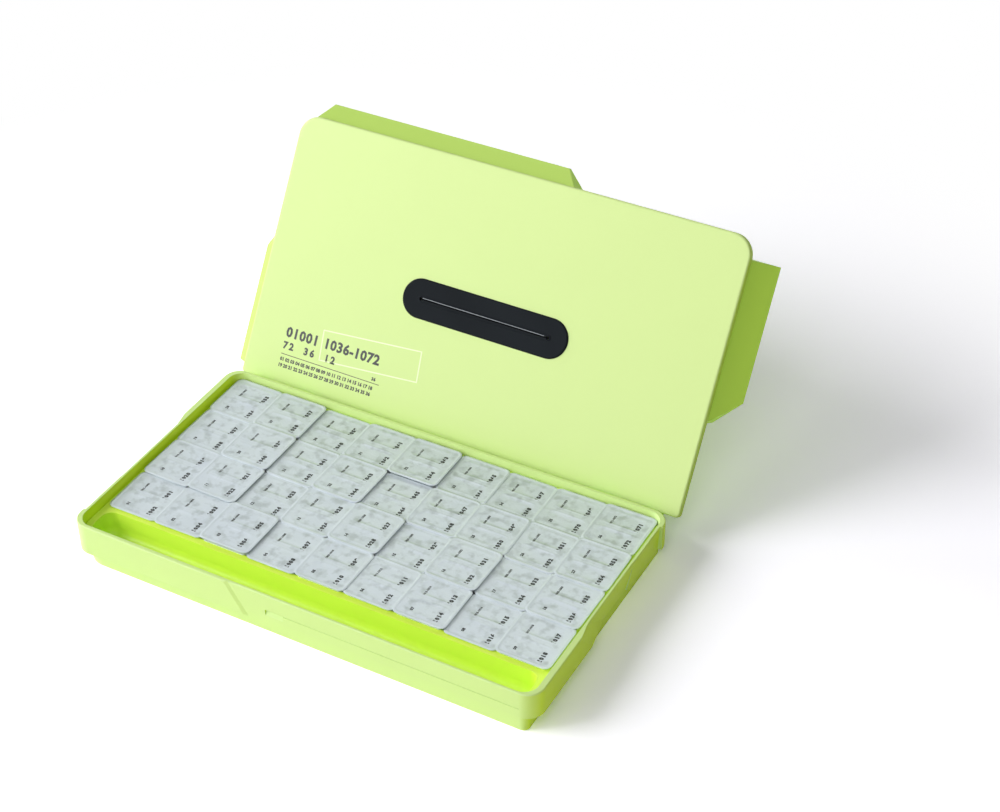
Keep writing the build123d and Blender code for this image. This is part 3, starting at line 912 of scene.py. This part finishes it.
# plain print on the lid's inner panel
panelPrint = {
    "level": 31.2 * mm,                   # the panel's inner face when the lid is shut
    "thickness": 0.04 * mm,
    "left": -146.6, "right": -64.4,       # millimetres along the hinge
    "ruleUp": 23.0, "ruleWidth": 0.45,
    "lines": {                            # plain numbers only
        "01001": {"x": -146.6, "up": 35.4, "cap": 7.0 * mm, "spacing": 1.12, "bold": 0.40 * mm},
        "1036-1072": {"x": -113.0, "up": 35.8, "cap": 7.0 * mm, "spacing": 1.08, "bold": 0.40 * mm},
        "72  36  12": {"x": -146.6, "up": 26.6, "cap": 5.0 * mm, "spacing": 1.45, "bold": 0.32 * mm},
        "36": {"x": -71.0, "up": 24.6, "cap": 2.2 * mm, "spacing": 1.1, "bold": 0.18 * mm},
        "01 02 03 04 05 06 07 08 09 10 11 12 13 14 15 16 17 18":
            {"x": -146.6, "up": 17.8, "cap": 2.4 * mm, "spacing": 1.0, "bold": 0.18 * mm},
        "19 20 21 22 23 24 25 26 27 28 29 30 31 32 33 34 35 36":
            {"x": -146.6, "up": 13.2, "cap": 2.4 * mm, "spacing": 1.0, "bold": 0.18 * mm},
    },
    "frame": {"corner": (-115.3, 26.8), "width": 79.4, "height": 21.8, "turn": 4.75, "line": 0.8},
}


def panelToWorld():
    # from millimetres along the hinge and up the open panel to the scene
    joint = next(joint for joint in frame["joints"] if joint["name"] == "lid_hinge")
    pivot = Vector(joint["pos_m"])
    opened = math.radians(joint["range_deg"][0])
    shut = Matrix.Translation((0, pivot.y, panelPrint["level"])) @ Matrix.Rotation(math.pi, 4, "X")
    swing = Matrix.Translation(pivot) @ Matrix.Rotation(opened, 4, "X") @ Matrix.Translation(-pivot)
    return swing @ shut


def barMesh(x0, y0, x1, y1, width, thickness):
    # a thin straight strip between two points, in millimetres
    start, end = Vector((x0, y0, 0)) * mm, Vector((x1, y1, 0)) * mm
    along = (end - start).normalized() * (width * mm / 2)
    side = Vector((-along.y, along.x, 0))
    corners = [start - along - side, end + along - side, end + along + side, start - along + side]
    up = Vector((0, 0, thickness))
    verts = corners + [corner + up for corner in corners]
    faces = [(3, 2, 1, 0), (4, 5, 6, 7), (0, 1, 5, 4), (1, 2, 6, 5), (2, 3, 7, 6), (3, 0, 4, 7)]
    mesh = bpy.data.meshes.new("bar")
    mesh.from_pydata(verts, [], faces)
    return mesh


def addPanelPrint(darkInk, paleInk):
    toWorld = panelToWorld()
    thick = panelPrint["thickness"]
    left, right, up = panelPrint["left"], panelPrint["right"], panelPrint["ruleUp"]
    dark = [(barMesh(left, up, right, up, panelPrint["ruleWidth"], thick), toWorld)]
    for words, style in panelPrint["lines"].items():
        mesh = textMesh(words, style, thick)
        startX = min(vertex.co.x for vertex in mesh.vertices)
        startY = min(vertex.co.y for vertex in mesh.vertices)
        place = Matrix.Translation((style["x"] * mm - startX, style["up"] * mm - startY, thick / 2))
        dark.append((mesh, toWorld @ place))
    numbers = joined("panelNumbers", dark, darkInk)

    outline = panelPrint["frame"]
    turn = math.radians(outline["turn"])
    x0, y0 = outline["corner"]
    across = Vector((math.cos(turn), math.sin(turn))) * outline["width"]
    upward = Vector((-math.sin(turn), math.cos(turn))) * outline["height"]
    start = Vector((x0, y0))
    corners = [start, start + across, start + across + upward, start + upward]
    pale = []
    for index, corner in enumerate(corners):
        following = corners[(index + 1) % len(corners)]
        pale.append((barMesh(*corner, *following, outline["line"], thick), toWorld))
    frameLine = joined("panelFrameLine", pale, paleInk)
    for piece in (numbers, frameLine):
        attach(piece, "lid")


# the lips of the rubber slit: a near-black strip between them, painted shade in the gap, and a pale
# strip on the upper lip, a painted highlight
slitLips = {
    "up": 91.0,                           # millimetres up the open panel
    "fill": {"left": -48.0, "right": 52.0, "width": 0.84, "from": 0.1 * mm, "depth": 1.4 * mm},
    # a pale strip along the upper lip: a painted highlight
    "sheen": {"left": -46.5, "right": 49.0, "width": 0.42, "from": 1.55 * mm, "depth": 0.15 * mm},
    "sheenUp": 0.75,                      # above the middle of the slit
}


def slitBar(name, settings, up, material):
    # a straight strip along the slit, riding with the lid
    bar = barMesh(settings["left"], up, settings["right"], up, settings["width"], settings["depth"])
    place = panelToWorld() @ Matrix.Translation((0, 0, settings["from"]))
    piece = joined(name, [(bar, place)], material)
    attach(piece, "lid")


def addSlitLips(paintedShadeMaterial, paintedHighlightMaterial):
    # the closed lips inside the slit, painted near-black as the slit's shade, and a pale strip on the
    # upper lip, a painted highlight
    up = slitLips["up"]
    slitBar("slitLips", slitLips["fill"], up, paintedShadeMaterial)
    slitBar("slitSheen", slitLips["sheen"], up + slitLips["sheenUp"], paintedHighlightMaterial)


# the scene
addCamera()
addWorld()
for name, settings in lamps.items():
    addLamp(name, settings)
addFloor()
print("camera, light and floor are in")

dressCase()
print("case, tray, cups, paint and pins have their materials")

filmSpots = filmPlaces()
filmPieces = addFilms(filmSpots, filmMaterial())
print("films laid:", len(filmSpots))

darkInk = inkMaterial("inkDark")
addFilmPrint(filmSpots, filmPieces, darkInk)
addPanelPrint(darkInk, inkMaterial("inkPale"))
addSlitLips(mouldedMaterial("slitPaintedShade"), mouldedMaterial("slitPaintedHighlight"))
print("numbers and lines printed")

scene.view_settings.view_transform = "Standard"
